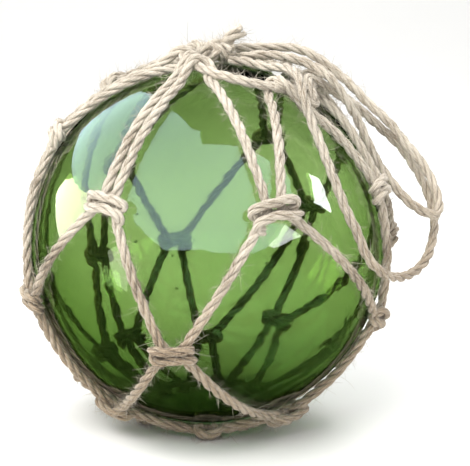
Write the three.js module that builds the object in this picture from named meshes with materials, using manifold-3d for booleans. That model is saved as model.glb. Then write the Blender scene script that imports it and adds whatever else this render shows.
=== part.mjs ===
// A hollow blown-glass float in a knotted net of laid cord, closed by a drawstring at the top.
// Millimetres, +Z up, the front looks along -Y. The origin is on the ground under the middle
// of the net. Everything is first placed about the middle of the ball, then lifted onto the ground.

import * as THREE from 'three';
import * as BufferGeometryUtils from 'three/addons/utils/BufferGeometryUtils.js';
import Module from 'manifold-3d';

const wasm = await Module();
wasm.setup();

// The glass ball
const BALL_RADIUS = 100;        // across the blowpipe axis
const BALL_POLE_RADIUS = 102;   // along the blowpipe axis
const BALL_HEIGHT = 105;        // middle of the ball above the ground
const AXIS_LEAN = 12.5;         // degrees the blowpipe axis leans to the right
const AXIS_NOD = 5;             // degrees it nods to the front
const SEAL_RADIUS = 14;         // button of glass over the blowpipe hole
const SEAL_HEIGHT = 2;
const BALL_SIDES = 36;
const BALL_RINGS = 16;

// The cord
const CORD_RADIUS = 2.75;
const CORD_GAP = 0.3;           // kept between pieces that touch
const CORD_SIDES = 5;           // on the net, where hundreds of millimetres are fused
const LOOP_SIDES = 8;           // on the two hanging loops
const STEP_ANGLE = 13;          // degrees of the ball that one straight step of cord spans
const LEG_LIFT = 3.9;           // cord's middle above the glass

// The drawstring's ring, about the blowpipe axis
const RING_SPREAD = 20;         // degrees from the axis
const RING_LIFT = 6.8;
const RING_STEPS = 24;
const OVER_LIFT = 10.8;         // of a net cord that is squeezed over the ring
const UNDER_LIFT = 3.3;         // and of one that is squeezed under it
const BIGHT_DEPTH = 2.8;        // degrees that a bight reaches inside the ring
const RISE_ANGLE = 9;           // degrees of the ball over which a cord climbs to the ring

// Knots of the net: half sizes along the row, up and down, and outwards
const KNOT_SIZE = [9.5, 5.8, 4.9];
const KNOT_LIFT = 5.3;
const LUMP_SWELL = 1.12;        // a faceted lump is swollen so that it fills its size

// Each knot is [degrees down from the top, degrees around from the front towards the right]
const UPPER_KNOTS = [
  [69, -32], [70, 20], [69, 71], [62, 113], [62, 156], [71, 214], [34, 243], [52, 276],
];
const MIDDLE_KNOTS = [
  [111, -11], [110, 73], [88, 98], [87, 141], [101, 192], [104, 224], [105, 262], [103, 288],
];
const LOWER_KNOTS = [
  [149, 56], [132, 100], [128, 147], [137, 182], [134, 223], [136, 244], [138, 268], [145, 300],
];
const HEAVY_KNOTS = { 0: 1.3, 7: 1.3 };  // the front pair of the lower row is tied double

// Where each top bight hooks around the ring, in degrees around it from the front towards
// the right, and how far its legs lie to each side. The first leg comes from the upper knot
// of the same number, the second from the next one, and one of them passes over the ring.
const TOP_BIGHTS = [
  { angle: -45, half: 8, firstOver: true },
  { angle: 22, half: 4.6, firstOver: false },
  { angle: 97, half: 5.6, firstOver: false },
  { angle: 138, half: 5.6, firstOver: false },
  { angle: 180, half: 5.6, firstOver: false },
  { angle: -120, half: 5.6, firstOver: true },
  { angle: -90, half: 5.6, firstOver: false },
  { angle: -67, half: 5, firstOver: false },
];

// The closing ring under the ball and the bights gathered on it, in degrees around
const FOOT_POLAR = 160;
const FOOT_RING_LIFT = 4;
const FOOT_RING_STEPS = 20;
const FOOT_BIGHTS = [82, 123, 165, 203, 234, 256, 285, 0];
const FOOT_SIZE = [8, 6, 5];
const FOOT_LIFT = 5.6;

// The drawstring's knot inside the ring, the two ends that it ties, which leave the ring at
// LINK_ANGLES, its frayed tail and the short second end
const TOP_KNOT = { angle: -95, spread: 10.5, lift: 6.4, size: [8.5, 7.5, 6] };
const LINK_ANGLES = [-160, -141];
const LINK_LIFT = 4;
const TAIL_RADIUS = 3.8;
const TAIL = [[6, -6, 111], [12, -7, 117], [19, -8, 122]];
const STUB = [[7, -11, 111], [14, -16, 111]];

// Routes of the two hanging loops, from the middle of the ball
const OUTER_LOOP = [
  [12, -1, 110], [21, 3, 110], [32, 6, 110], [45, 7, 110], [56, 7, 107], [67, 6, 100],
  [78, 4, 91], [90, 2, 79], [101, 0, 69], [110, -2, 58], [120, -4, 46], [126, -7, 35],
  [129, -11, 24], [127, -15, 19], [120, -17, 21], [111, -18, 27], [103, -15, 36],
  [95, -12, 47], [89, -11, 58], [83, -12, 71], [75, -18, 84], [65, -19, 97], [54, -12, 103],
  [43, -8, 106], [30, -7, 107], [18, -8, 106],
];
const INNER_LOOP = [
  [11, -15, 105], [21, -16, 104], [30, -20, 102], [42, -31, 102], [48, -46, 98],
  [50, -54, 90], [53, -55, 80], [57, -57, 70], [61, -60, 60], [66, -65, 47], [72, -68, 32],
  [78, -67, 20], [83, -66, 8], [90, -64, -1], [101, -48, -9], [112, -34, -10],
  [121, -22, -5], [126, -11, 4], [128, -2, 14], [126, 3, 24], [122, 5, 34], [116, 6, 44],
  [108, 6, 55], [97, 5, 65], [86, 0, 75], [76, -8, 83], [64, -12, 90],
];

// Colours
const GLASS_GREEN = 0x4c7a3c;
const CORD_TAN = 0xb9a88a;

const radians = THREE.MathUtils.degToRad;
const blowpipeTurn = new THREE.Quaternion().setFromEuler(
  new THREE.Euler(radians(AXIS_NOD), radians(AXIS_LEAN), 0),
);
const blowpipeAxis = new THREE.Vector3(0, 0, 1).applyQuaternion(blowpipeTurn);

// Directions and points on and above the ball

function direction(polar, azimuth) {
  const p = radians(polar);
  const a = radians(azimuth);
  return new THREE.Vector3(Math.sin(p) * Math.sin(a), -Math.sin(p) * Math.cos(a), Math.cos(p));
}

function ringDirection(angle, spread = RING_SPREAD) {
  return direction(spread, angle).applyQuaternion(blowpipeTurn);
}

function above(unit, lift) {
  const along = unit.dot(blowpipeAxis);
  const across = Math.sqrt(1 - along * along);
  const glass = 1 / Math.hypot(across / BALL_RADIUS, along / BALL_POLE_RADIUS);
  return unit.clone().multiplyScalar(glass + lift);
}

// Points above the great circle from one direction to another, both ends included. The cord
// lies on the glass, and climbs or dips to lastLift at its last point.
function arc(from, to, lastLift = LEG_LIFT) {
  const span = from.angleTo(to);
  const count = Math.max(2, Math.ceil(span / radians(STEP_ANGLE)));
  const turn = new THREE.Quaternion().setFromUnitVectors(from, to);
  const still = new THREE.Quaternion();
  return Array.from({ length: count + 1 }, (_, i) => {
    const part = still.clone().slerp(turn, i / count);
    const left = span * (1 - i / count);
    const climb = Math.max(0, 1 - left / radians(RISE_ANGLE));
    return above(from.clone().applyQuaternion(part), LEG_LIFT + climb * (lastLift - LEG_LIFT));
  });
}

// Solids

function solid(geometry) {
  const bare = geometry.clone();
  bare.deleteAttribute('normal');
  bare.deleteAttribute('uv');
  const merged = BufferGeometryUtils.mergeVertices(bare, 1e-4);
  return new wasm.Manifold(new wasm.Mesh({
    numProp: 3,
    vertProperties: Float32Array.from(merged.attributes.position.array),
    triVerts: Uint32Array.from(merged.index.array),
  }));
}

function fuse(solids) {
  return solids.reduce((whole, next) => whole.add(next));
}

function geometryOf(shape) {
  const { vertProperties, triVerts } = shape.getMesh();
  const geometry = new THREE.BufferGeometry();
  geometry.setAttribute('position', new THREE.BufferAttribute(vertProperties, 3));
  geometry.setIndex(new THREE.BufferAttribute(triVerts, 1));
  return geometry;
}

function polygon(radius, sides) {
  const corners = Array.from({ length: sides }, (_, i) => {
    const turn = 2 * Math.PI * i / sides;
    return new THREE.Vector2(radius * Math.cos(turn), radius * Math.sin(turn));
  });
  return new THREE.Shape(corners);
}

// A smooth path whose equal steps fall on the points themselves, so that a tight turn keeps them
class CordPath extends THREE.CatmullRomCurve3 {
  getPointAt(u, target) {
    return this.getPoint(u, target);
  }

  getTangentAt(u, target) {
    return this.getTangent(u, target);
  }
}

function cord(points, radius = CORD_RADIUS, sides = CORD_SIDES) {
  const extrudePath = new CordPath(points, false, 'centripetal');
  const steps = points.length - 1;
  return new THREE.ExtrudeGeometry(polygon(radius, sides), { steps, extrudePath, bevelEnabled: false });
}

// A matrix whose axes run along the row, up the ball and outwards at a point above it
function seatAt(unit, lift, axis = new THREE.Vector3(0, 0, 1)) {
  const east = axis.clone().cross(unit).normalize();
  const north = unit.clone().cross(east);
  return new THREE.Matrix4().makeBasis(east, north, unit).setPosition(above(unit, lift));
}

function lump(unit, lift, size, axis) {
  const geometry = new THREE.IcosahedronGeometry(LUMP_SWELL, 0);
  return geometry.scale(...size).applyMatrix4(seatAt(unit, lift, axis));
}

// The glass ball: its seal button rises smoothly from the top of a slightly long sphere
function ballGeometry() {
  const profile = [];
  for (let i = 0; i <= BALL_RINGS; i += 1) {
    const angle = Math.PI * (1 - i / BALL_RINGS);
    const radius = BALL_RADIUS * Math.sin(angle);
    if (angle === Math.PI || radius > SEAL_RADIUS + SEAL_HEIGHT) {
      profile.push(new THREE.Vector2(radius, BALL_POLE_RADIUS * Math.cos(angle)));
    }
  }
  profile[0].x = 0;
  const ballAt = (radius) => BALL_POLE_RADIUS * Math.sqrt(1 - (radius / BALL_RADIUS) ** 2);
  const foot = SEAL_RADIUS + SEAL_HEIGHT;
  const shoulder = SEAL_RADIUS - SEAL_HEIGHT;
  profile.push(new THREE.Vector2(foot, ballAt(foot)));
  profile.push(new THREE.Vector2(shoulder, ballAt(shoulder) + SEAL_HEIGHT));
  profile.push(new THREE.Vector2(0, BALL_POLE_RADIUS + SEAL_HEIGHT));
  const geometry = new THREE.LatheGeometry(profile, BALL_SIDES);
  return geometry.rotateX(Math.PI / 2).applyQuaternion(blowpipeTurn);
}

// The drawstring: a ring, the knot that closes it and the two cut ends
function ringSolid(radius) {
  const ring = above(ringDirection(0), RING_LIFT);
  const height = ring.dot(blowpipeAxis);
  const reach = Math.sqrt(ring.lengthSq() - height * height);
  const geometry = new THREE.TorusGeometry(reach, radius, CORD_SIDES, RING_STEPS);
  return solid(geometry.translate(0, 0, height).applyQuaternion(blowpipeTurn));
}

function vectors(points) {
  return points.map((point) => new THREE.Vector3(...point));
}

function drawstringSolid() {
  const knot = ringDirection(TOP_KNOT.angle, TOP_KNOT.spread);
  const heart = above(knot, TOP_KNOT.lift);
  const links = LINK_ANGLES.map((angle) => solid(cord([
    heart,
    above(ringDirection(angle, (TOP_KNOT.spread + RING_SPREAD) / 2), LINK_LIFT),
    above(ringDirection(angle), RING_LIFT),
  ])));
  return fuse([
    ringSolid(CORD_RADIUS),
    solid(lump(knot, TOP_KNOT.lift, TOP_KNOT.size, blowpipeAxis)),
    ...links,
    solid(cord([heart, ...vectors(TAIL)], TAIL_RADIUS, LOOP_SIDES)),
    solid(cord([heart, ...vectors(STUB)])),
  ]);
}

// The net, one bight or leg at a time

function topBight(index) {
  const { angle, half, firstOver } = TOP_BIGHTS[index];
  const from = direction(...UPPER_KNOTS[index]);
  const to = direction(...UPPER_KNOTS[(index + 1) % UPPER_KNOTS.length]);
  const first = arc(from, ringDirection(angle - half), firstOver ? OVER_LIFT : UNDER_LIFT);
  const second = arc(to, ringDirection(angle + half), firstOver ? UNDER_LIFT : OVER_LIFT);
  const turn = above(ringDirection(angle, RING_SPREAD - BIGHT_DEPTH), RING_LIFT);
  return solid(cord([...first, turn, ...second.reverse()]));
}

function leg(from, to) {
  return solid(cord(arc(from, to)));
}

function netKnot(unit, scale = 1) {
  return solid(lump(unit, KNOT_LIFT * scale, KNOT_SIZE.map((half) => half * scale)));
}

function footRing() {
  const middle = above(direction(FOOT_POLAR, 0), FOOT_RING_LIFT);
  const reach = Math.hypot(middle.x, middle.y);
  const geometry = new THREE.TorusGeometry(reach, CORD_RADIUS, CORD_SIDES, FOOT_RING_STEPS);
  return solid(geometry.translate(0, 0, middle.z));
}

function groundBelow() {
  const side = 4 * BALL_RADIUS;
  return solid(new THREE.BoxGeometry(side, side, side).translate(0, 0, -BALL_HEIGHT - side / 2));
}

function netSolid() {
  const upper = UPPER_KNOTS.map((knot) => direction(...knot));
  const middle = MIDDLE_KNOTS.map((knot) => direction(...knot));
  const lower = LOWER_KNOTS.map((knot) => direction(...knot));
  const feet = FOOT_BIGHTS.map((azimuth) => direction(FOOT_POLAR, azimuth));
  const next = (row, i) => row[(i + 1) % row.length];
  const pieces = [...upper, ...middle].map((knot) => netKnot(knot));
  pieces.push(...lower.map((knot, i) => netKnot(knot, HEAVY_KNOTS[i])));
  upper.forEach((_, i) => {
    pieces.push(topBight(i));
    pieces.push(leg(upper[i], middle[i]), leg(next(upper, i), middle[i]));
    pieces.push(leg(middle[i], lower[i]), leg(next(middle, i), lower[i]));
    pieces.push(leg(lower[i], feet[i]), leg(next(lower, i), feet[i]));
    pieces.push(solid(lump(feet[i], FOOT_LIFT, FOOT_SIZE)));
  });
  pieces.push(footRing());
  return fuse(pieces).subtract(ringSolid(CORD_RADIUS + CORD_GAP)).subtract(groundBelow());
}

// The model

function mesh(name, geometry, color, roughness) {
  const piece = new THREE.Mesh(geometry, new THREE.MeshStandardMaterial({
    color, roughness, metalness: 0,
  }));
  piece.name = name;
  return piece;
}

const drawstring = drawstringSolid();
const body = new THREE.Group();
body.add(mesh('glass_ball', ballGeometry(), GLASS_GREEN, 0.08));
body.add(mesh('rope_net', geometryOf(netSolid()), CORD_TAN, 0.95));
body.add(mesh('drawstring', geometryOf(drawstring), CORD_TAN, 0.95));
const box = new THREE.Box3().setFromObject(body);
const middle = box.getCenter(new THREE.Vector3());

function loop(name, points) {
  return mesh(name, cord(vectors(points), CORD_RADIUS, LOOP_SIDES), CORD_TAN, 0.95);
}
body.add(loop('hanging_loop_outer', OUTER_LOOP));
body.add(loop('hanging_loop_inner', INNER_LOOP));
body.position.set(-middle.x, -middle.y, BALL_HEIGHT);

const float = new THREE.Group();
float.add(body);

export default float;
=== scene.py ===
"""A hollow blown-glass float in a knotted net of laid cord, with a drawstring and a hanging loop."""

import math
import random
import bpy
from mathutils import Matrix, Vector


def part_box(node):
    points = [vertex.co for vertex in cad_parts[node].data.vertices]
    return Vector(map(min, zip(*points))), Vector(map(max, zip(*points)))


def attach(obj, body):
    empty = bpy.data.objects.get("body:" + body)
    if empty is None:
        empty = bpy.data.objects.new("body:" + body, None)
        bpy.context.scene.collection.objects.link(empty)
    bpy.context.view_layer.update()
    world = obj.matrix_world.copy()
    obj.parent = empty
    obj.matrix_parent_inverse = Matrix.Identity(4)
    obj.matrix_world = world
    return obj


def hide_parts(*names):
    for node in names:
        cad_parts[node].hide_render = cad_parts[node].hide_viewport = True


bl_info = {
    "name": "Glass Float in a Cord Net",
    "version": (1, 0, 0),
    "blender": (4, 2, 0),
    "location": "3D View > Sidebar > Glass Float",
    "description": "Builds a netted glass float, its drawstring and hanging loops, and a plain studio",
    "category": "Add Mesh",
}

import bpy
import numpy as np
from mathutils import Matrix, Vector

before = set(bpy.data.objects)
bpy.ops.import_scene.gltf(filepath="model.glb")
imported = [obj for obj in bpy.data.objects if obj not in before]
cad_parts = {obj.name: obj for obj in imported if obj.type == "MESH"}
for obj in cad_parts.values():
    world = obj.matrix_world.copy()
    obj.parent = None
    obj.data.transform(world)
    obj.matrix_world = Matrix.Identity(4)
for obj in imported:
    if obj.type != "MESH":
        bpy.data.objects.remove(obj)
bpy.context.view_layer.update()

MM = 0.001

# ---------------------------------------------------------------- sizes, in millimetres

BALL_RADIUS = 100.0
BALL_POLE_RADIUS = 102.0
BALL_HEIGHT = 105.0
AXIS_LEAN = 12.5
AXIS_NOD = 5.0
SEAL_RADIUS = 14.0
SEAL_HEIGHT = 2.0
RING_SPREAD = 20.0
RING_LIFT = 6.8
OVER_LIFT = 10.6
UNDER_LIFT = 3.0
BIGHT_DEPTH = 3.4
RISE_ANGLE = 9.0
FOOT_POLAR = 160.0
FOOT_RING_LIFT = 4.0
GROUND = -BALL_HEIGHT + 0.05

# Each knot is (degrees down from the top, degrees around from the front towards the right)
UPPER_KNOTS = [
    (69, -32), (70, 20), (69, 71), (62, 113), (62, 156), (71, 214), (34, 243), (52, 276),
]
MIDDLE_KNOTS = [
    (111, -11), (110, 73), (88, 98), (87, 141), (101, 192), (104, 224), (105, 262), (103, 288),
]
LOWER_KNOTS = [
    (149, 56), (132, 100), (128, 147), (137, 182), (134, 223), (136, 244), (138, 268), (145, 300),
]
FOOT_BIGHTS = [82, 123, 165, 203, 234, 256, 285, 0]

# Where each top bight hooks round the ring, how far its legs lie to each side, and whether
# the first leg passes over the ring
TOP_BIGHTS = [
    (-45, 8, True), (22, 4.6, False), (97, 5.6, False), (138, 5.6, False),
    (180, 5.6, False), (-120, 5.6, True), (-90, 5.6, False), (-67, 5, False),
]

# Size, hand and tilt of each knot's wraps, where they differ from the usual ones
KNOT_FORMS = {
    ("upper", 0): (0.95, 1, -4), ("upper", 1): (1.12, -1, 6), ("middle", 0): (0.92, 1, 8),
    ("middle", 1): (0.9, 1, -20), ("lower", 0): (1.0, -1, 10), ("lower", 7): (0.95, 1, -6),
}

# One knot's wraps: along the row, up the ball, and above the glass
KNOT_WRAPS = [
    (-1, -1.5, 3.4), (-7, -0.6, 3.2), (-10.6, 1.2, 4.8), (-9.4, 3.2, 7.2), (-4, 3.3, 8.4),
    (2, 2.8, 8.7), (7.6, 2.6, 7.9), (10.9, 1.0, 5.6), (8.4, -1.2, 3.2), (0, -1.8, 2.9),
    (-8.2, -1.6, 3.2), (-11.0, -3.2, 5.4), (-8.0, -3.8, 7.6), (-2, -2.7, 8.5), (4, -2.8, 8.3),
    (9.4, -4.4, 6.9), (10.0, -7.0, 4.2), (6.0, -7.4, 3.0),
]

FOOT_WRAPS = [
    (-3, 2, 3.0), (-6.5, 3.4, 4.2), (-3.5, 4.2, 6.6), (1.5, 0.5, 7.4), (4.5, -3.6, 6.4),
    (0, -5.2, 3.8), (-4.8, -3.2, 4.6), (-3.0, 0.5, 7.0), (3.0, 3.2, 6.6), (6.6, 2.0, 4.0),
    (3, -1, 2.8),
]

# The drawstring's knot, about the blowpipe axis, and its two cut ends
TOP_KNOT_ANGLE = -95.0
TOP_KNOT_SPREAD = 10.5
TOP_KNOT_WRAPS = [
    (-2, -3, 3.2), (-7.5, -2.5, 4.0), (-8.4, 1.0, 7.6), (-3.0, 3.4, 10.4), (3.6, 3.0, 10.2),
    (7.8, 0.6, 7.4), (5.6, -1.8, 3.8), (-1.0, -2.6, 3.0), (-6.6, -4.6, 5.6), (-4.4, -5.2, 8.8),
    (1.4, -2.4, 11.2), (5.6, 1.6, 10.0), (5.2, 5.6, 6.2), (0.6, 6.4, 3.4), (-5.2, 5.4, 4.6),
    (-5.6, 3.8, 8.0), (-0.4, 0.6, 11.6), (4.4, -4.2, 9.4), (3.6, -6.6, 5.4), (-1, -5.8, 3.0),
]
LINK_ANGLES = (-160.0, -141.0)
TAIL = [(-2, -5, 107), (6, -6, 111), (12, -7, 116.5), (19, -8, 121.5)]
STUB = [(0, -6, 108), (7, -11, 111), (14, -16, 110.5)]
RETURN_LINK = [(54, -21, 95.5), (60, -15, 93), (65, -11.5, 90)]

OUTER_LOOP = [
    (12, -1, 110), (21, 3, 110), (32, 6, 110), (45, 7, 110), (56, 7, 107), (67, 6, 100),
    (78, 4, 91), (90, 2, 79), (101, 0, 69), (110, -2, 58), (120, -4, 46), (126, -7, 35),
    (129, -11, 24), (127, -15, 19), (120, -17, 21), (111, -18, 27), (103, -15, 36),
    (95, -12, 47), (89, -11, 58), (83, -12, 71), (75, -18, 84), (65, -19, 97), (54, -12, 103),
    (43, -8, 106), (30, -7, 107), (18, -8, 106),
]
INNER_LOOP = [
    (11, -15, 105), (21, -16, 104), (30, -20, 102), (42, -31, 102), (48, -46, 98),
    (50, -54, 90), (53, -55, 80), (57, -57, 70), (61, -60, 60), (66, -65, 47), (72, -68, 32),
    (78, -67, 20), (83, -66, 8), (90, -64, -1), (101, -48, -9), (112, -34, -10),
    (121, -22, -5), (126, -11, 4), (128, -2, 14), (126, 3, 24), (122, 5, 34), (116, 6, 44),
    (108, 6, 55), (97, 5, 65), (86, 0, 75), (76, -8, 83), (64, -12, 90),
]


# ---------------------------------------------------------------- settings a user would change

def length(name, description, default, low, high):
    return bpy.props.FloatProperty(
        name=name, description=description, default=default, min=low, max=high,
        subtype="DISTANCE", unit="LENGTH",
    )


def colour(name, description, default):
    return bpy.props.FloatVectorProperty(
        name=name, description=description, default=default, size=3, min=0, max=1,
        subtype="COLOR",
    )


class FloatGlass(bpy.types.PropertyGroup):
    """The blown ball."""
    wall: length("Wall", "Thickness of the blown wall", 0.003, 0.001, 0.008)
    tint: colour("Tint", "Colour of the glass at its surface", (0.86, 0.93, 0.78))
    depth_colour: colour("Depth colour", "Colour that a thick wall turns", (0.43, 0.57, 0.20))
    depth: bpy.props.FloatProperty(
        name="Depth", description="How strongly the wall absorbs light, per metre",
        default=375, min=0, max=2000,
    )
    seeds: bpy.props.IntProperty(
        name="Seeds", description="Small bubbles in the wall", default=150, min=0, max=2000,
    )


class FloatCord(bpy.types.PropertyGroup):
    """The laid cord of the net, the drawstring and the loops."""
    radius: length("Radius", "Half the cord's thickness", 0.00275, 0.001, 0.006)
    lay: length("Lay", "Length of one turn of a strand", 0.027, 0.008, 0.06)
    hairs: bpy.props.IntProperty(
        name="Hairs", description="Stray fibres to each metre of cord", default=2300, min=0,
        max=4000,
    )
    # Painted sunlight: the pale tone colours cord high on the ball, and also lightens the palest fibre streaks.
    pale: colour("Bleached fibre", "Colour of fibre bleached by the sun", (0.60, 0.54, 0.45))
    tan: colour("Fibre", "Colour of most of the fibre", (0.36, 0.265, 0.17))
    # Painted shade: the dark tone fills the grooves where the fibre streaks sink.
    groove_shade: colour("Weathered fibre", "Colour of dirty fibre in the grooves", (0.09, 0.055, 0.03))


class FloatStudio(bpy.types.PropertyGroup):
    """The studio round the float."""
    floor: colour("Floor", "Colour of the floor and backdrop", (0.90, 0.90, 0.89))
    daylight: colour("Window", "Colour of the window light", (0.80, 0.95, 1.0))
    ambient: bpy.props.FloatProperty(
        name="Ambient", description="Strength of the light from all around", default=0.75,
        min=0, max=5,
    )


# ---------------------------------------------------------------- directions and points on the ball

BLOWPIPE_TURN = np.array(
    Matrix.Rotation(math.radians(AXIS_NOD), 3, "X") @ Matrix.Rotation(math.radians(AXIS_LEAN), 3, "Y")
)
BLOWPIPE_AXIS = BLOWPIPE_TURN @ np.array((0.0, 0.0, 1.0))
BALL_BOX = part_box("glass_ball")
MIDDLE = np.array((
    (BALL_BOX[0].x + BALL_BOX[1].x) / 2 / MM, (BALL_BOX[0].y + BALL_BOX[1].y) / 2 / MM, BALL_HEIGHT,
))


def unit(vector):
    return vector / np.linalg.norm(vector)


def direction(polar, azimuth):
    p, a = math.radians(polar), math.radians(azimuth)
    return np.array((math.sin(p) * math.sin(a), -math.sin(p) * math.cos(a), math.cos(p)))


def ring_direction(angle, spread=RING_SPREAD):
    return BLOWPIPE_TURN @ direction(spread, angle)


def above(way, lift):
    """The point that lies lift millimetres above the glass in that direction."""
    along = float(way @ BLOWPIPE_AXIS)
    across = math.sqrt(max(0.0, 1 - along * along))
    glass = 1 / math.hypot(across / BALL_RADIUS, along / BALL_POLE_RADIUS)
    return way * (glass + lift)


def compass(way, axis=(0, 0, 1)):
    """East along the row and north up the ball, at a direction from the middle."""
    east = unit(np.cross(np.array(axis, float), way))
    return east, np.cross(way, east)


def beside(way, east_by, north_by, axis=(0, 0, 1)):
    east, north = compass(way, axis)
    return unit(way * BALL_RADIUS + east * east_by + north * north_by)


def great_circle(start, end, part):
    angle = math.acos(max(-1.0, min(1.0, float(start @ end))))
    if angle < 1e-6:
        return start
    return (math.sin((1 - part) * angle) * start + math.sin(part * angle) * end) / math.sin(angle)


# ---------------------------------------------------------------- laid cord as a mesh

def smooth_path(points, step=1.5, closed=False):
    """A centripetal curve through the points, cut into even steps."""
    given = np.array(points, float)
    if closed:
        ends = np.vstack((given[-1], given, given[0], given[1]))
    else:
        ends = np.vstack((2 * given[0] - given[1], given, 2 * given[-1] - given[-2]))
    fine = []
    for p0, p1, p2, p3 in zip(ends, ends[1:], ends[2:], ends[3:]):
        t1 = math.sqrt(np.linalg.norm(p1 - p0))
        t2 = t1 + math.sqrt(np.linalg.norm(p2 - p1))
        t3 = t2 + math.sqrt(np.linalg.norm(p3 - p2))
        count = max(4, int(np.linalg.norm(p2 - p1) / 0.5))
        t = (t1 + (t2 - t1) * np.arange(count) / count)[:, None]
        a1 = (t1 - t) / t1 * p0 + t / t1 * p1
        a2 = (t2 - t) / (t2 - t1) * p1 + (t - t1) / (t2 - t1) * p2
        a3 = (t3 - t) / (t3 - t2) * p2 + (t - t2) / (t3 - t2) * p3
        b1 = (t2 - t) / t2 * a1 + t / t2 * a2
        b2 = (t3 - t) / (t3 - t1) * a2 + (t - t1) / (t3 - t1) * a3
        fine.append((t2 - t) / (t2 - t1) * b1 + (t - t1) / (t2 - t1) * b2)
    fine.append(given[:1] if closed else given[-1:])
    fine = np.vstack(fine)
    run = np.concatenate(([0], np.cumsum(np.linalg.norm(np.diff(fine, axis=0), axis=1))))
    count = max(3, round(run[-1] / step))
    marks = np.linspace(0, run[-1], count + 1)
    path = np.stack([np.interp(marks, run, fine[:, k]) for k in range(3)], axis=1)
    return path[:-1] if closed else path


def frames(path, closed=False):
    """Tangents and untwisted side directions along a path, and how far along each point is."""
    if closed:
        tangents = np.roll(path, -1, axis=0) - np.roll(path, 1, axis=0)
    else:
        tangents = np.gradient(path, axis=0)
    tangents /= np.linalg.norm(tangents, axis=1)[:, None]
    side = np.cross(tangents[0], (0.31, 0.52, 0.79))
    sides = [side / np.linalg.norm(side)]
    for tangent in tangents[1:]:
        side = sides[-1] - tangent * float(sides[-1] @ tangent)
        sides.append(side / np.linalg.norm(side))
    sides = np.array(sides)
    run = np.concatenate(([0], np.cumsum(np.linalg.norm(np.diff(path, axis=0), axis=1))))
    return tangents, sides, np.cross(tangents, sides), run


class Batch:
    """Vertices, faces and fibre directions of many cords that become one mesh."""

    def __init__(self):
        self.points, self.faces, self.fibres, self.count = [], [], [], 0

    def tube(self, rings, fibres, closed=False):
        """Adds a skin over rings of points, capped unless it is closed."""
        steps, sides = rings.shape[:2]
        ids = self.count + np.arange(steps * sides).reshape(steps, sides)
        here, there = (ids, np.roll(ids, -1, axis=0)) if closed else (ids[:-1], ids[1:])
        quads = np.stack(
            (here, np.roll(here, -1, axis=1), np.roll(there, -1, axis=1), there), axis=-1
        ).reshape(-1, 4)
        self.faces.extend(quads.tolist())
        if not closed:
            self.faces.append(ids[0, ::-1].tolist())
            self.faces.append(ids[-1].tolist())
        self.points.append(rings.reshape(-1, 3))
        self.fibres.append(fibres.reshape(-1, 3))
        self.count += steps * sides

    def mesh(self, name, material, smooth=True):
        mesh = bpy.data.meshes.new(name)
        points = np.vstack(self.points)
        points[:, 2] = np.maximum(points[:, 2], GROUND)     # pressed flat where it stands
        points = (points + MIDDLE) * MM
        mesh.from_pydata(points.tolist(), [], self.faces)
        fibre = mesh.attributes.new("fibre", "FLOAT_VECTOR", "POINT")
        fibre.data.foreach_set("vector", np.vstack(self.fibres).astype(np.float32).ravel())
        mesh.polygons.foreach_set("use_smooth", [smooth] * len(mesh.polygons))
        mesh.materials.append(material)
        mesh.validate()
        return place(name, mesh)


def place(name, mesh):
    piece = bpy.data.objects.new(name, mesh)
    bpy.context.scene.collection.objects.link(piece)
    return piece


STRAND_SHARE = 0.464     # a strand's radius in a cord of three, as a share of the cord's
STRAND_OFFSET = 0.536
STRAND_SIDES = 8
YARN_TWIST = 0.45        # radians to the millimetre, against the lay


def laid_cord(batch, path, radius, lay, chance, closed=False, splay=None, sides=STRAND_SIDES):
    """Adds three strands laid round a path. splay opens the strands towards the end."""
    _, side, other, run = frames(path, closed)
    total = run[-1] + (np.linalg.norm(path[0] - path[-1]) if closed else 0)
    turns = total / lay
    if closed:
        ends = side[-1] - 0
        turn_back = math.atan2(float(ends @ other[0]), float(ends @ side[0]))
        turns = round(turns) - turn_back / (2 * math.pi)
    start = chance.uniform(0, 2 * math.pi)
    shift = chance.uniform(0, 500)
    around = 2 * math.pi * np.arange(sides) / sides
    wander = smooth_noise(run, chance, 26.0, 0.05)
    opening = np.ones(len(run)) if splay is None else splay(run / total)
    for strand in range(3):
        angle = start + 2 * math.pi * (turns * run / total + strand / 3)
        out = np.cos(angle)[:, None] * side + np.sin(angle)[:, None] * other
        along = -np.sin(angle)[:, None] * side + np.cos(angle)[:, None] * other
        own = 1 + smooth_noise(run, chance, 9.0, 0.05) + wander
        if closed:
            fade = np.minimum(1, np.minimum(run, total - run) / 12)
            own = 1 + (own - 1) * fade
        thick = radius * STRAND_SHARE * own
        centre = path + out * (radius * STRAND_OFFSET * opening * own)[:, None]
        rings = (
            centre[:, None]
            + (thick[:, None] * np.cos(around))[:, :, None] * out[:, None]
            + (thick[:, None] * 1.16 * np.sin(around))[:, :, None] * along[:, None]
        )
        twisted = around[None] + YARN_TWIST * run[:, None]
        fibres = np.stack((
            np.cos(twisted) + 3.1 * strand,
            np.sin(twisted),
            np.broadcast_to((run + shift + 90 * strand)[:, None] * 0.05, twisted.shape),
        ), axis=-1)
        batch.tube(rings, fibres, closed)


def smooth_noise(run, chance, spacing, size):
    """Seeded values that wander smoothly along a run."""
    count = int(run[-1] / spacing) + 3
    knots = [chance.uniform(-size, size) for _ in range(count)]
    return np.interp(run / spacing, range(count), knots)


HAIR_SIDES = 3
HAIR_STEPS = 4


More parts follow.
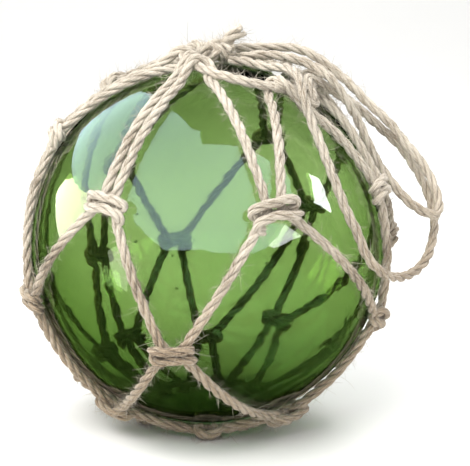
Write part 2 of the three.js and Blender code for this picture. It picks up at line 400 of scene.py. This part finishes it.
def stray_hairs(batch, path, radius, per_metre, chance, reach=(1.6, 7.0), thick=(0.06, 0.125),
                splay=(0.25, 1.0), lowest=None):
    """Adds loose fibres that lift off a cord and curl."""
    tangents, side, other, run = frames(path)
    for _ in range(int(per_metre * run[-1] * MM)):
        at = chance.randrange(1, len(path) - 1)
        angle = chance.uniform(0, 2 * math.pi)
        out = math.cos(angle) * side[at] + math.sin(angle) * other[at]
        point = path[at] + out * radius * 0.9
        lean = chance.uniform(*splay)
        way = tangents[at] * chance.choice((-1, 1)) * (1 - lean * 0.6) + out * lean
        way = unit(way)
        far = chance.uniform(*reach) * (1.9 if chance.random() < 0.08 else 1)
        bend = unit(np.array([chance.gauss(0, 1) for _ in range(3)])) * chance.uniform(0.1, 0.55)
        half = chance.uniform(*thick)
        line = [point]
        for _ in range(HAIR_STEPS):
            way = unit(way + bend * 0.45)
            point = point + way * far / HAIR_STEPS
            if lowest is not None and point[2] < lowest:
                point = np.array((point[0], point[1], lowest))
            if np.linalg.norm(point) < BALL_RADIUS + 2.2:
                point = unit(point) * (BALL_RADIUS + 2.2)
            line.append(point)
        hair(batch, np.array(line), half, chance)


def hair(batch, line, half, chance):
    """One fibre that thins towards its tip."""
    _, side, other, run = frames(line + 1e-7 * np.arange(len(line))[:, None])
    around = 2 * math.pi * np.arange(HAIR_SIDES) / HAIR_SIDES
    thick = half * np.linspace(1, 0.35, len(line))
    rings = line[:, None] + (
        np.cos(around)[None, :, None] * side[:, None] + np.sin(around)[None, :, None] * other[:, None]
    ) * thick[:, None, None]
    tone = chance.uniform(0, 90)
    fibres = np.full(rings.shape, tone)
    batch.tube(rings, fibres)


# ---------------------------------------------------------------- finishes

class Sum:
    """A number that varies over a surface. Arithmetic on it adds Math nodes."""

    def __init__(self, finish, socket):
        self.finish, self.socket = finish, socket

    def math(self, operation, *others, clamp=False):
        return Sum(self.finish, self.finish.make(
            "ShaderNodeMath", {"operation": operation, "use_clamp": clamp},
            dict(enumerate((self, *others))),
        ).outputs[0])

    def __add__(self, other):
        return self.math("ADD", other)

    __radd__ = __add__

    def __sub__(self, other):
        return self.math("SUBTRACT", other)

    def __rsub__(self, other):
        return (self * -1) + other

    def __mul__(self, other):
        return self.math("MULTIPLY", other)

    __rmul__ = __mul__

    def __truediv__(self, other):
        return self.math("DIVIDE", other)

    def __rtruediv__(self, other):
        return self.math("POWER", -1) * other

    def __pow__(self, other):
        return self.math("POWER", other)

    def clamped(self):
        return self.math("ADD", 0, clamp=True)


class Finish:
    """A material under construction: makes nodes and mixes colours."""

    def __init__(self, name):
        self.material = bpy.data.materials.new(name)
        self.material.use_nodes = True
        self.tree = self.material.node_tree
        self.tree.nodes.clear()
        self.output = self.tree.nodes.new("ShaderNodeOutputMaterial")

    def make(self, kind, settings=None, inputs=None):
        """A node of that type, its settings first and then the values or links of its sockets."""
        node = self.tree.nodes.new(kind)
        for key, value in (settings or {}).items():
            if key == "stops":
                ramp = node.color_ramp
                while len(ramp.elements) < len(value):
                    ramp.elements.new(0.5)
                for stop, (at, tone) in zip(ramp.elements, value):
                    stop.position, stop.color = at, (*tone, 1)
            else:
                setattr(node, key, value)
        for key, value in (inputs or {}).items():
            socket = node.inputs[key]
            if isinstance(value, Sum):
                value = value.socket
            if isinstance(value, bpy.types.NodeSocket):
                self.tree.links.new(value, socket)
            else:
                socket.default_value = value
        return node

    def noise(self, vector, scale, detail=3.0, roughness=0.55, distortion=0.0):
        return Sum(self, self.make("ShaderNodeTexNoise", None, {
            "Vector": vector, "Scale": scale, "Detail": detail, "Roughness": roughness,
            "Distortion": distortion,
        }).outputs["Fac"])

    def ramp(self, value, *stops):
        return self.make("ShaderNodeValToRGB", {"stops": stops}, {"Fac": value}).outputs["Color"]

    def fade(self, value, low, high):
        """0 below low, 1 above high, and smooth between."""
        return Sum(self, self.make("ShaderNodeMapRange", {"interpolation_type": "SMOOTHSTEP"}, {
            "Value": value, "From Min": low, "From Max": high, "To Min": 0.0, "To Max": 1.0,
        }).outputs["Result"])

    def mix(self, factor, first, second, blend="MIX"):
        node = self.make("ShaderNodeMix", {"data_type": "RGBA", "blend_type": blend}, {0: factor})
        for index, value in ((6, first), (7, second)):
            if isinstance(value, bpy.types.NodeSocket):
                self.tree.links.new(value, node.inputs[index])
            else:
                node.inputs[index].default_value = (*value, 1)
        return node.outputs[2]

    def scaled(self, vector, by):
        return self.make("ShaderNodeVectorMath", {"operation": "MULTIPLY"}, {
            0: vector, 1: by,
        }).outputs[0]

    def bump(self, height, strength, distance):
        return self.make("ShaderNodeBump", None, {
            "Height": height, "Strength": strength, "Distance": distance,
        }).outputs["Normal"]

    def surface(self, **sockets):
        named = {key.replace("_", " ").title().replace("Ior", "IOR"): value
                 for key, value in sockets.items()}
        node = self.make("ShaderNodeBsdfPrincipled", None, named)
        self.tree.links.new(node.outputs[0], self.output.inputs["Surface"])
        return self.material

    def place(self, which="Object"):
        return self.make("ShaderNodeTexCoord").outputs[which]

    def height(self):
        parts = self.make("ShaderNodeSeparateXYZ", None, {0: self.place()})
        return Sum(self, parts.outputs["Z"])


def fibre_finish(name, cord, lit, hair_only=False):
    """Jute or hemp: fine streaks along the fibre, with painted sunlight making cord high on the ball paler, painted
    shade making it darker lower down, and painted shade in the grooves of the streaks.
    """
    finish = Finish(name)
    fibre = finish.make("ShaderNodeAttribute", {"attribute_name": "fibre"}).outputs["Vector"]
    here = finish.place()
    streaks = finish.noise(finish.scaled(fibre, (2.3, 2.3, 3.4)), 1.0, 3.0, 0.6, 0.2)
    fine = finish.noise(finish.scaled(fibre, (6.0, 6.0, 5.5)), 1.0, 2.0, 0.6, 0.1)
    blotch = finish.noise(here, 38.0, 3.0, 0.6)
    patch = finish.noise(here, 12.0, 2.0, 0.5)
    depth = (streaks * 0.62 + fine * 0.38 + (blotch - 0.5) * 0.35).clamped()
    pale, tan, groove_shade = tuple(cord.pale), tuple(cord.tan), tuple(cord.groove_shade)
    # Shaded copy of the fibre, for cord low on the ball: painted shade, darkest where the streaks' bump sinks; the
    # streaks also vary in tone at random.
    shaded_tone = finish.ramp(
        depth, (0.34, groove_shade), (0.42, tuple(0.62 * t for t in tan)), (0.50, tan),
        (0.60, tuple(0.5 * (t + p) for t, p in zip(tan, pale))),
    )
    # Sunlit copy of the same fibre, painted paler, for cord high on the ball.
    sunlit_tone = finish.ramp(
        depth, (0.35, tuple(0.5 * t for t in tan)), (0.43, tuple(0.42 * (t + p) for t, p in zip(tan, pale))),
        (0.52, pale), (0.62, tuple(min(1, 1.16 * p) for p in pale)),
    )
    # Painted light: from the lower to the upper of the given heights the cord turns from the shaded copy to the
    # sunlit one.
    sun = finish.fade(finish.height() + (patch - 0.5) * 0.12, *lit)
    tone = finish.mix(sun, shaded_tone, sunlit_tone)
    relief = finish.bump(streaks * 0.6 + fine * 0.4, 0.75, 0.0006)
    inputs = {} if hair_only else {"normal": relief}
    return finish.surface(
        base_color=tone, roughness=0.88, specular_ior_level=0.25, sheen_weight=0.25,
        sheen_roughness=0.6, **inputs,
    )


def glass_finish(glass):
    """Old green float glass: clear, absorbing more where the wall is seen edge on."""
    finish = Finish("Green float glass")
    here = finish.place()
    swirl = finish.noise(finish.scaled(here, (1.0, 1.0, 1.6)), 22.0, 2.0, 0.5, 0.6)
    ripple = finish.noise(here, 75.0, 2.0, 0.5)
    grease = finish.noise(here, 14.0, 4.0, 0.6)
    roughness = finish.fade(grease, 0.5, 0.75) * 0.06 + 0.012
    material = finish.surface(
        base_color=(*glass.tint, 1), roughness=roughness, ior=1.5, transmission_weight=1.0,
        normal=finish.bump(swirl + ripple * 0.12, 0.35, 0.0009),
    )
    inside = finish.make("ShaderNodeVolumeAbsorption", None, {
        "Color": (*glass.depth_colour, 1), "Density": glass.depth,
    })
    finish.tree.links.new(inside.outputs[0], finish.output.inputs["Volume"])
    return material


def floor_finish(studio):
    """A matt pale floor with a very faint tooth."""
    finish = Finish("Pale studio floor")
    tooth = finish.noise(finish.place(), 9.0, 3.0, 0.5)
    tone = finish.mix(tooth, tuple(0.985 * c for c in studio.floor), tuple(studio.floor))
    return finish.surface(base_color=tone, roughness=0.9, specular_ior_level=0.1)


# ---------------------------------------------------------------- the pieces

def settings(context):
    scene = context.scene
    return scene.float_glass, scene.float_cord, scene.float_studio


# Each finish passes the heights in metres over which its cord turns from painted shade to painted sunlight.
def cord_finish(cord):
    return bpy.data.materials.get("Net fibre") or fibre_finish("Net fibre", cord, (0.05, 0.16))


def hair_finish(cord):
    return bpy.data.materials.get("Stray fibre") or fibre_finish(
        "Stray fibre", cord, (-0.08, 0.08), hair_only=True)


def finish_piece(piece, slot, *nodes):
    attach(piece, "root")
    if nodes:
        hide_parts(*nodes)
    return piece


class BuildStudio(bpy.types.Operator):
    """Set up the floor, the backdrop, the lights and the camera"""
    bl_idname = "glass_float.studio"
    bl_label = "Studio"

    CAMERA_HEIGHT = 12.0      # degrees above the horizon
    CAMERA_AWAY = 0.9
    CAMERA_ANGLE = 16.887     # degrees across the frame
    SHIFT = (0.0574, 0.0202)

    def execute(self, context):
        studio = context.scene.float_studio
        middle = Vector(MIDDLE) * MM
        lens = bpy.data.cameras.new("Camera")
        lens.sensor_width = 36.0
        lens.angle = math.radians(self.CAMERA_ANGLE)
        lens.shift_x, lens.shift_y = self.SHIFT
        lens.clip_start = 0.01
        camera = bpy.data.objects.new("Camera", lens)
        context.scene.collection.objects.link(camera)
        rise = math.radians(self.CAMERA_HEIGHT)
        back = Vector((0, -math.cos(rise), math.sin(rise)))
        camera.location = middle + back * self.CAMERA_AWAY
        camera.rotation_euler = (-back).to_track_quat("-Z", "Y").to_euler()
        context.scene.camera = camera
        context.scene.view_settings.view_transform = "Standard"

        self.floor(studio)
        world = bpy.data.worlds.new("Studio")
        context.scene.world = world
        world.use_nodes = True
        sky = world.node_tree.nodes["Background"]
        sky.inputs["Color"].default_value = (1.0, 1.0, 1.0, 1)
        sky.inputs["Strength"].default_value = studio.ambient

        world.cycles_visibility.glossy = False

        self.lamp("Key", (-35, 52), 1.5, (1.3, 1.0), 30, (1, 0.98, 0.95))
        self.lamp("Back", (155, 50), 1.5, (1.0, 0.8), 14, (1, 1, 1))
        for name, outline, strength, tone in self.WINDOWS:
            self.window(name, outline, strength, tuple(t * d for t, d in zip(tone, studio.daylight)))
        return {"FINISHED"}

    # Bright windows that the glass reflects: their corners as seen from the ball, in degrees
    # round from the front towards the right and up from the horizon, then strength and tone
    WINDOWS = (
        ("WindowSky", (
            (-147, 17), (-157, 30), (-130, 68), (-60, 80), (-28, 81), (-12, 72), (45, 65),
            (62, 51), (68, 41), (60, 24), (35, 5), (20, 3), (-5, 6), (-26, 5), (-51, 19),
            (-74, 22), (-105, 19),
        ), 4.0, (0.9, 1.0, 1.1)),
        ("WindowLeft", ((-124, 8), (-121, 15), (-97, 26), (-86, 21), (-90, 9), (-105, -2)), 12, (1.2, 1.05, 0.72)),
        ("WindowRight", ((76, 22), (86, 34), (95, 27), (96, 17), (87, 13)), 20, (1.2, 1.05, 1)),
        ("WindowFront", ((31, 11), (38, 22), (64, 15), (59, 8), (40, 4)), 12, (1.2, 1.05, 1)),
        ("WindowLow", ((-64, 1), (-56, 5), (-47, -3), (-51, -20), (-58, -17)), 5, (1.1, 1.05, 0.7)),
    )

    def window(self, name, outline, strength, tone):
        """A glowing shape that only the glass sees."""
        away = 2.2
        corners = []
        for azimuth, rise in outline:
            a, r = math.radians(azimuth), math.radians(rise)
            corners.append(Vector(MIDDLE) * MM + away * Vector((
                math.sin(a) * math.cos(r), -math.cos(a) * math.cos(r), math.sin(r),
            )))
        heart = sum(corners, Vector()) / len(corners)
        heart = Vector(MIDDLE) * MM + (heart - Vector(MIDDLE) * MM).normalized() * away
        mesh = bpy.data.meshes.new(name)
        count = len(corners)
        mesh.from_pydata([*corners, heart], [], [(i, (i + 1) % count, count) for i in range(count)])
        finish = Finish(name)
        glow = finish.make("ShaderNodeEmission", None, {"Color": (*tone, 1), "Strength": strength})
        finish.tree.links.new(glow.outputs[0], finish.output.inputs["Surface"])
        mesh.materials.append(finish.material)
        card = place(name, mesh)
        card.visible_camera = card.visible_diffuse = card.visible_shadow = False

    def lamp(self, name, towards, away, size, power, tone):
        """A rectangular light that faces the ball, at (azimuth, elevation) seen from it."""
        light = bpy.data.lights.new(name, "AREA")
        light.shape = "RECTANGLE"
        light.size, light.size_y = size
        light.energy = power
        light.color = tone
        lamp = bpy.data.objects.new(name, light)
        bpy.context.scene.collection.objects.link(lamp)
        azimuth, rise = (math.radians(a) for a in towards)
        back = Vector((
            math.sin(azimuth) * math.cos(rise), -math.cos(azimuth) * math.cos(rise), math.sin(rise),
        ))
        lamp.location = Vector(MIDDLE) * MM + back * away
        lamp.rotation_euler = back.to_track_quat("Z", "Y").to_euler()
        lamp.visible_glossy = lamp.visible_transmission = lamp.visible_camera = False

    def floor(self, studio):
        """A floor that sweeps up into a backdrop."""
        wide, near, far, bend, high = 6.0, -4.0, 1.6, 0.7, 3.2
        profile = [(near, 0.0), (0.0, 0.0)]
        for i in range(13):
            angle = math.pi / 2 * i / 12
            profile.append((far + bend * math.sin(angle), bend * (1 - math.cos(angle))))
        profile.append((far + bend, high))
        points = [(x, y, z) for y, z in profile for x in (-wide, wide)]
        faces = [(2 * i, 2 * i + 1, 2 * i + 3, 2 * i + 2) for i in range(len(profile) - 1)]
        mesh = bpy.data.meshes.new("Floor")
        mesh.from_pydata(points, [], faces)
        mesh.polygons.foreach_set("use_smooth", [True] * len(mesh.polygons))
        mesh.materials.append(floor_finish(studio))
        floor = place("Floor", mesh)
        floor.visible_glossy = False


class BuildLoops(bpy.types.Operator):
    """Lay the two cord loops that the float hangs by"""
    bl_idname = "glass_float.loops"
    bl_label = "Hanging loops"

    def execute(self, context):
        _, cord, _ = settings(context)
        for name, route, seed in (
            ("hanging_loop_outer", OUTER_LOOP, 11), ("hanging_loop_inner", INNER_LOOP, 12),
        ):
            chance = random.Random(seed)
            path = smooth_path(route)
            batch, hairs = Batch(), Batch()
            laid_cord(batch, path, cord.radius / MM, cord.lay / MM, chance)
            stray_hairs(hairs, path, cord.radius / MM, cord.hairs * 0.8, chance)
            piece = finish_piece(batch.mesh(name + "_cord", cord_finish(cord)), "loop_cord", name)
            fuzz = finish_piece(hairs.mesh(name + "_hairs", hair_finish(cord)), "loop_cord")
            points = (path + MIDDLE) * MM
            2 * cord.radius
            points[::4].tolist() + [points[-1].tolist()]
        return {"FINISHED"}


class BuildGlass(bpy.types.Operator):
    """Blow the hollow ball with its seal button and the seeds in its wall"""
    bl_idname = "glass_float.glass"
    bl_label = "Glass ball"

    def execute(self, context):
        glass, _, _ = settings(context)
        wall = glass.wall / MM
        points, faces = [], []
        self.skin(points, faces, 0.0, 192, 96, False)
        self.skin(points, faces, wall, 128, 64, True)
        chance = random.Random(5)
        for _ in range(glass.seeds):
            self.seed(points, faces, wall, chance)
        mesh = bpy.data.meshes.new("glass_ball_blown")
        mesh.from_pydata(((np.array(points) + MIDDLE) * MM).tolist(), [], faces)
        mesh.polygons.foreach_set("use_smooth", [True] * len(mesh.polygons))
        mesh.materials.append(glass_finish(glass))
        finish_piece(place("glass_ball_blown", mesh), "green_glass", "glass_ball")
        return {"FINISHED"}

    @staticmethod
    def radius(angle, turn, inset):
        """Distance from the middle at an angle from the blowpipe's end."""
        across, along = math.sin(angle), math.cos(angle)
        glass = 1 / math.hypot(across / BALL_RADIUS, along / BALL_POLE_RADIUS)
        wobble = 0.16 * math.sin(3 * turn + 2.1 * angle) * across + 0.12 * math.sin(5 * angle - 2 * turn) * across
        if inset:
            thicker = 0.9 * (1 - along) ** 2 / 2 + 0.3 * math.sin(2 * turn + 3 * angle) * across
            return glass - inset - thicker - wobble
        reach = BALL_RADIUS * across
        seal = 0.0
        if along > 0 and reach < SEAL_RADIUS + SEAL_HEIGHT:
            share = min(1.0, (SEAL_RADIUS + SEAL_HEIGHT - reach) / (2 * SEAL_HEIGHT))
            seal = SEAL_HEIGHT * share * share * (3 - 2 * share)
        return glass + seal + wobble * 0.5

    def skin(self, points, faces, inset, around, down, inwards):
        start = len(points)
        points.append(BLOWPIPE_AXIS * self.radius(0, 0, inset))
        angles = []
        for i in range(1, down):
            part = i / down
            angles.append(math.pi * part)
        for angle in angles:
            for j in range(around):
                turn = 2 * math.pi * j / around
                way = BLOWPIPE_TURN @ np.array((
                    math.sin(angle) * math.cos(turn), math.sin(angle) * math.sin(turn), math.cos(angle),
                ))
                points.append(way * self.radius(angle, turn, inset))
        points.append(-BLOWPIPE_AXIS * self.radius(math.pi, 0, inset))
        last = len(points) - 1
        new = []
        for j in range(around):
            k = (j + 1) % around
            new.append((start, start + 1 + j, start + 1 + k))
            for i in range(len(angles) - 1):
                row = start + 1 + i * around
                new.append((row + j, row + around + j, row + around + k, row + k))
            row = start + 1 + (len(angles) - 1) * around
            new.append((row + j, last, row + k))
        faces.extend(tuple(reversed(face)) for face in new) if inwards else faces.extend(new)

    def seed(self, points, faces, wall, chance):
        """A small bubble that faces into the glass."""
        way = unit(np.array([chance.gauss(0, 1) for _ in range(3)]))
        half = chance.uniform(0.12, 0.4) if chance.random() < 0.85 else chance.uniform(0.4, 0.75)
        half = min(half, wall * 0.28)
        heart = above(way, -wall * chance.uniform(0.35, 0.62))
        east, north = compass(way)
        spin = chance.uniform(0, math.pi)
        long = math.cos(spin) * east + math.sin(spin) * north
        wide = np.cross(way, long)
        stretch = chance.uniform(1.0, 1.9)
        start = len(points)
        rings, around = 5, 8
        points.append(heart + way * half)
        for i in range(1, rings):
            angle = math.pi * i / rings
            for j in range(around):
                turn = 2 * math.pi * j / around
                points.append(
                    heart + way * half * math.cos(angle)
                    + half * math.sin(angle) * (stretch * math.cos(turn) * long + math.sin(turn) * wide)
                )
        points.append(heart - way * half)
        last = len(points) - 1
        for j in range(around):
            k = (j + 1) % around
            faces.append((start + 1 + k, start + 1 + j, start))
            for i in range(rings - 2):
                row = start + 1 + i * around
                faces.append((row + k, row + around + k, row + around + j, row + j))
            row = start + 1 + (rings - 2) * around
            faces.append((row + k, last, row + j))


LEG_LIFT = 3.1           # middle of a net cord above the glass
KNOT_NECK = 8.0          # where a cord enters a knot from above
KNOT_HEEL = 8.5          # and where one leaves it below


def near_knot(knot, other, size, side, from_above):
    """The last points of a cord in a knot, from hidden to clear of it, towards other. side is
    -1 for the left of two cords and 1 for the right."""
    east, north = compass(knot)
    way = unit(other - knot * float(other @ knot))
    across, up = float(way @ east), float(way @ north)
    if from_above:
        hidden = (2.8 * side * size, -1.0 * size, 4.4)
        clear = (
            KNOT_NECK * size * across + 2.85 * side * up,
            KNOT_NECK * size * up - 2.85 * side * across, LEG_LIFT + 0.9,
        )
    else:
        hidden = (4.6 * side * size, 0.8 * size, 4.2)
        clear = (
            KNOT_HEEL * size * across - 2.6 * side * up,
            KNOT_HEEL * size * up + 2.6 * side * across, LEG_LIFT + 0.6,
        )
    return [above(beside(knot, x, y), z) for x, y, z in (hidden, clear)], beside(knot, clear[0], clear[1])


def cord_between(start, end, last_lift=LEG_LIFT, step=9.0):
    """Points above the great circle between two directions, easing to a last height."""
    span = math.acos(max(-1, min(1, float(start @ end))))
    count = max(2, math.ceil(span / math.radians(step)))
    points = []
    for i in range(1, count):
        left = span * (1 - i / count)
        climb = max(0.0, 1 - left / math.radians(RISE_ANGLE))
        points.append(above(great_circle(start, end, i / count), LEG_LIFT + climb * (last_lift - LEG_LIFT)))
    return points


class BuildNet(bpy.types.Operator):
    """Knot the net over the ball, from the drawstring's ring to the ring under it"""
    bl_idname = "glass_float.net"
    bl_label = "Net"

    def execute(self, context):
        _, cord, _ = settings(context)
        self.cord = cord
        self.radius, self.lay = cord.radius / MM, cord.lay / MM
        rows = {
            "upper": [direction(*k) for k in UPPER_KNOTS],
            "middle": [direction(*k) for k in MIDDLE_KNOTS],
            "lower": [direction(*k) for k in LOWER_KNOTS],
        }
        feet = [direction(FOOT_POLAR, azimuth) for azimuth in FOOT_BIGHTS]
        self.upper_part(rows)
        self.lower_part(rows, feet)
        self.knots(rows, feet)
        return {"FINISHED"}

    def size_of(self, row, index):
        return KNOT_FORMS.get((row, index), (0.82, 1 if index % 2 else -1, (index * 37) % 21 - 10))

    def leg(self, rows, row, i, next_row, j):
        """One leg from the heel of a knot to the neck of a knot in the next row down."""
        start, end = rows[row][i], rows[next_row][j]
        side = 1 if i == j else -1
        first, clear = near_knot(start, end, self.size_of(row, i)[0], side, False)
        last, enter = near_knot(end, start, self.size_of(next_row, j)[0], -side, True)
        return smooth_path([*first, *cord_between(clear, enter), *reversed(last)])

    def lay_all(self, name, paths, seed, *nodes, hairs=1.0, lowest=None):
        chance = random.Random(seed)
        batch, fuzz = Batch(), Batch()
        for path in paths:
            laid_cord(batch, path, self.radius, self.lay, chance)
            stray_hairs(fuzz, path, self.radius, self.cord.hairs * hairs, chance, lowest=lowest)
        finish_piece(batch.mesh(name, cord_finish(self.cord)), "net_cord", *nodes)
        finish_piece(fuzz.mesh(name + "_hairs", hair_finish(self.cord)), "net_cord")

    def upper_part(self, rows):
        paths = []
        upper = rows["upper"]
        count = len(upper)
        for i, (angle, half, first_over) in enumerate(TOP_BIGHTS):
            ends = []
            for knot, side, over in ((i, -1, first_over), ((i + 1) % count, 1, not first_over)):
                target = ring_direction(angle + side * half)
                lift = OVER_LIFT if over else UNDER_LIFT
                near, clear = near_knot(upper[knot], target, self.size_of("upper", knot)[0], -side, True)
                ends.append([*near, *cord_between(clear, target, lift), above(target, lift)])
            turn = [
                above(ring_direction(angle - half * 0.55, RING_SPREAD - BIGHT_DEPTH * 0.85), RING_LIFT + (1.2 if first_over else -1.2)),
                above(ring_direction(angle + half * 0.55, RING_SPREAD - BIGHT_DEPTH * 0.85), RING_LIFT - (1.2 if first_over else -1.2)),
            ]
            paths.append(smooth_path([*ends[0], *turn, *reversed(ends[1])]))
        for i in range(count):
            paths.append(self.leg(rows, "upper", i, "middle", i))
            paths.append(self.leg(rows, "upper", (i + 1) % count, "middle", i))
        self.lay_all("net_upper_cords", paths, 21, "rope_net")

    def lower_part(self, rows, feet):
        paths = []
        count = len(feet)
        for i in range(count):
            paths.append(self.leg(rows, "middle", i, "lower", i))
            paths.append(self.leg(rows, "middle", (i + 1) % count, "lower", i))
            for j in (i, (i + 1) % count):
                knot = rows["lower"][j]
                first, clear = near_knot(knot, feet[i], self.size_of("lower", j)[0], 1 if j == i else -1, False)
                side = 2.4 if j == i else -2.4
                end = beside(feet[i], -side, 0)
                paths.append(smooth_path([*first, *cord_between(clear, end), above(end, 4.6)]))
        middle = above(direction(FOOT_POLAR, 0), FOOT_RING_LIFT)
        reach = math.hypot(middle[0], middle[1])
        ring = [
            (reach * math.sin(a), -reach * math.cos(a), middle[2])
            for a in np.linspace(0, 2 * math.pi, 24, endpoint=False)
        ]
        ring.append(ring[0])
        paths.append(smooth_path(ring))
        self.lay_all("net_lower_cords", paths, 22, lowest=GROUND)

    def knots(self, rows, feet):
        paths = []
        for row, ways in rows.items():
            for i, way in enumerate(ways):
                size, hand, tilt = self.size_of(row, i)
                paths.append(self.wraps(way, KNOT_WRAPS, size, hand, tilt))
        for i, way in enumerate(feet):
            paths.append(self.wraps(way, FOOT_WRAPS, 0.95, 1 if i % 2 else -1, 0))
        self.lay_all("net_knots", paths, 23, hairs=0.7, lowest=GROUND)

    @staticmethod
    def wraps(way, form, size, hand, tilt, axis=(0, 0, 1)):
        turn = math.radians(tilt)
        points = []
        for x, y, z in form:
            x, y = x * hand * size, y * size
            x, y = x * math.cos(turn) - y * math.sin(turn), x * math.sin(turn) + y * math.cos(turn)
            points.append(above(beside(way, x, y, axis), max(2.75, z * (0.5 + 0.5 * size))))
        return smooth_path(points, 1.3)


class BuildDrawstring(bpy.types.Operator):
    """Lay the ring that gathers the net, its knot and the frayed ends"""
    bl_idname = "glass_float.drawstring"
    bl_label = "Drawstring"

    def execute(self, context):
        _, cord, _ = settings(context)
        radius, lay = cord.radius / MM, cord.lay / MM
        chance = random.Random(31)
        batch, fuzz = Batch(), Batch()

        def add(path, thick=radius, hairs=1.0, **kinds):
            laid_cord(batch, path, thick, lay * thick / radius, chance, **kinds)
            stray_hairs(fuzz, path, thick, cord.hairs * hairs, chance)

        ring = [above(ring_direction(a), RING_LIFT) for a in range(0, 360, 15)]
        add(smooth_path(ring, closed=True), closed=True)
        heart = ring_direction(TOP_KNOT_ANGLE, TOP_KNOT_SPREAD)
        add(BuildNet.wraps(heart, TOP_KNOT_WRAPS, 1.0, 1, 0, BLOWPIPE_AXIS), hairs=1.5)
        for angle in LINK_ANGLES:
            add(smooth_path([
                above(heart, 5.0),
                above(ring_direction(angle, (TOP_KNOT_SPREAD + RING_SPREAD) / 2), 4.0),
                above(ring_direction(angle), RING_LIFT),
            ]))
        add(smooth_path([above(ring_direction(20), RING_LIFT + 0.5), above(ring_direction(38, 21), RING_LIFT - 0.6),
                         above(ring_direction(52, 26), 5.4), *RETURN_LINK]))
        add(smooth_path([above(heart, 6), *TAIL]), thick=3.3, hairs=5.0,
            splay=lambda share: 1 + 0.55 * np.clip(share * 2 - 1, 0, 1) ** 2)
        add(smooth_path([above(heart, 6), *STUB]), hairs=4.0,
            splay=lambda share: 1 + 0.5 * np.clip(share * 2 - 1, 0, 1) ** 2)
        finish_piece(batch.mesh("drawstring_cord", cord_finish(cord)), "drawstring_cord", "drawstring")
        finish_piece(fuzz.mesh("drawstring_hairs", hair_finish(cord)), "drawstring_cord")
        return {"FINISHED"}


class FloatPanel(bpy.types.Panel):
    """Lists the steps that build the float."""
    bl_idname = "VIEW3D_PT_glass_float"
    bl_label = "Glass Float"
    bl_space_type = "VIEW_3D"
    bl_region_type = "UI"
    bl_category = "Glass Float"

    def draw(self, context):
        for group in settings(context):
            box = self.layout.box()
            for name in group.__annotations__:
                box.prop(group, name)
        for step in STEPS:
            self.layout.operator(step.bl_idname)


STEPS = (BuildStudio, BuildLoops, BuildGlass, BuildNet, BuildDrawstring)
GROUPS = (FloatGlass, FloatCord, FloatStudio)


def register():
    for kind in (*GROUPS, *STEPS, FloatPanel):
        bpy.utils.register_class(kind)
    bpy.types.Scene.float_glass = bpy.props.PointerProperty(type=FloatGlass)
    bpy.types.Scene.float_cord = bpy.props.PointerProperty(type=FloatCord)
    bpy.types.Scene.float_studio = bpy.props.PointerProperty(type=FloatStudio)


def unregister():
    del bpy.types.Scene.float_glass, bpy.types.Scene.float_cord, bpy.types.Scene.float_studio
    for kind in reversed((*GROUPS, *STEPS, FloatPanel)):
        bpy.utils.unregister_class(kind)


def main():
    register()
    bpy.ops.glass_float.studio()
    bpy.ops.glass_float.loops()
    bpy.ops.glass_float.glass()
    bpy.ops.glass_float.net()
    bpy.ops.glass_float.drawstring()


if __name__ == "__main__":
    main()
